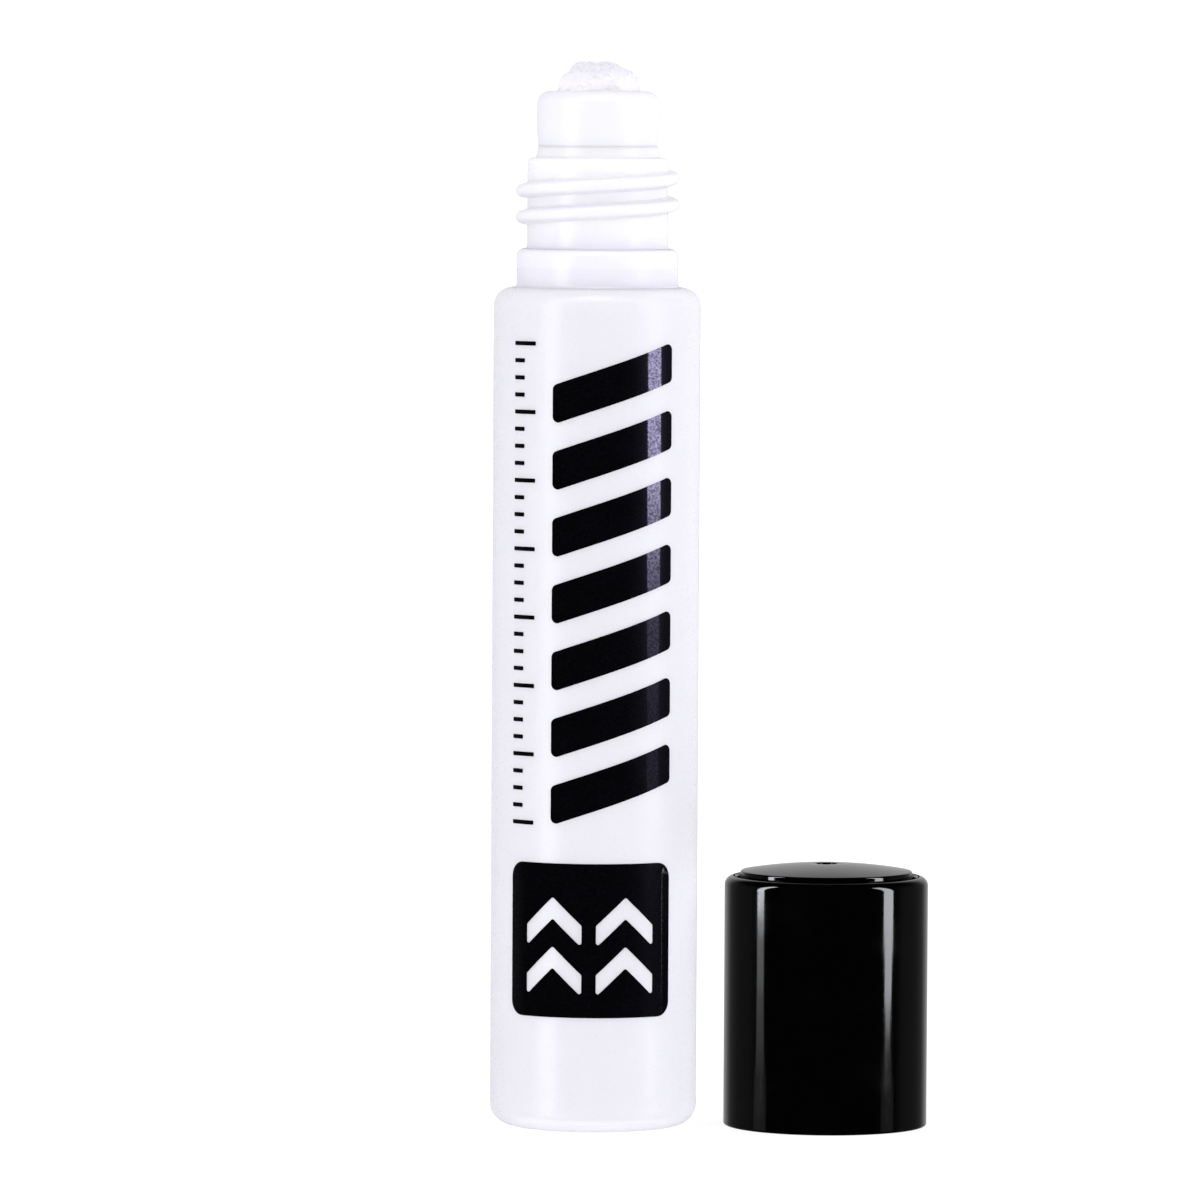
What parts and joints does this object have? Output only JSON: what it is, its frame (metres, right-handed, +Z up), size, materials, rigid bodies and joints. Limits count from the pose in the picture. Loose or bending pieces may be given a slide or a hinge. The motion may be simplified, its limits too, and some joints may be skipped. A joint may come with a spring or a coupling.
{
  "type": "squeeze marker",
  "caption": "Empty refillable squeeze marker: translucent squeeze bottle with a sprung felt tip in a push-in holder, and a glossy screw cap standing beside it.",
  "frame": {"origin": "centre of the bottle's flat base, on the bottle's axis", "axes": "+Z up along the bottle's axis; -Y is the printed front; the cap stands along +X"},
  "size_m": [0.0529, 0.025, 0.1286],
  "materials": {
    "bottle_plastic": "translucent milky polyethylene, satin, with black print",
    "holder_plastic": "opaque white polyethylene, satin",
    "felt": "rough white fibrous felt",
    "valve_plastic": "natural plastic",
    "spring_steel": "bright stainless wire",
    "cap_plastic": "glossy black",
    "seal_foam": "white polyethylene foam"
  },
  "bodies": {
    "bottle": {"bottle": "bottle_plastic"},
    "tip_unit": {"tip_holder": "holder_plastic", "spring_cage": "valve_plastic", "valve_spring": "spring_steel"},
    "nib": {"felt_tip": "felt", "valve_poppet": "valve_plastic"},
    "cap_carrier": {"cap_seal": "seal_foam"},
    "cap": {"cap_shell": "cap_plastic", "cap_liner": "cap_plastic"}
  },
  "joints": [
    {"name": "tip_unit_lift", "type": "slide", "parent": "bottle", "child": "tip_unit", "axis": [0, 0, 1], "range_m": [0, 0.03]},
    {"name": "tip_press", "type": "slide", "parent": "tip_unit", "child": "nib", "axis": [0, 0, -1], "range_m": [0, 0.0015], "stiffness_N_per_m": 400, "springref_m": -0.001, "deforming": ["valve_spring"]},
    {"name": "cap_lift", "type": "slide", "parent": "bottle", "child": "cap_carrier", "axis": [0, 0, 1], "range_m": [0, 0.14]},
    {"name": "cap_turn", "type": "hinge", "parent": "cap_carrier", "child": "cap", "pos_m": [0.0281, 0, 0.015], "axis": [0, 0, 1], "continuous": true}
  ]
}
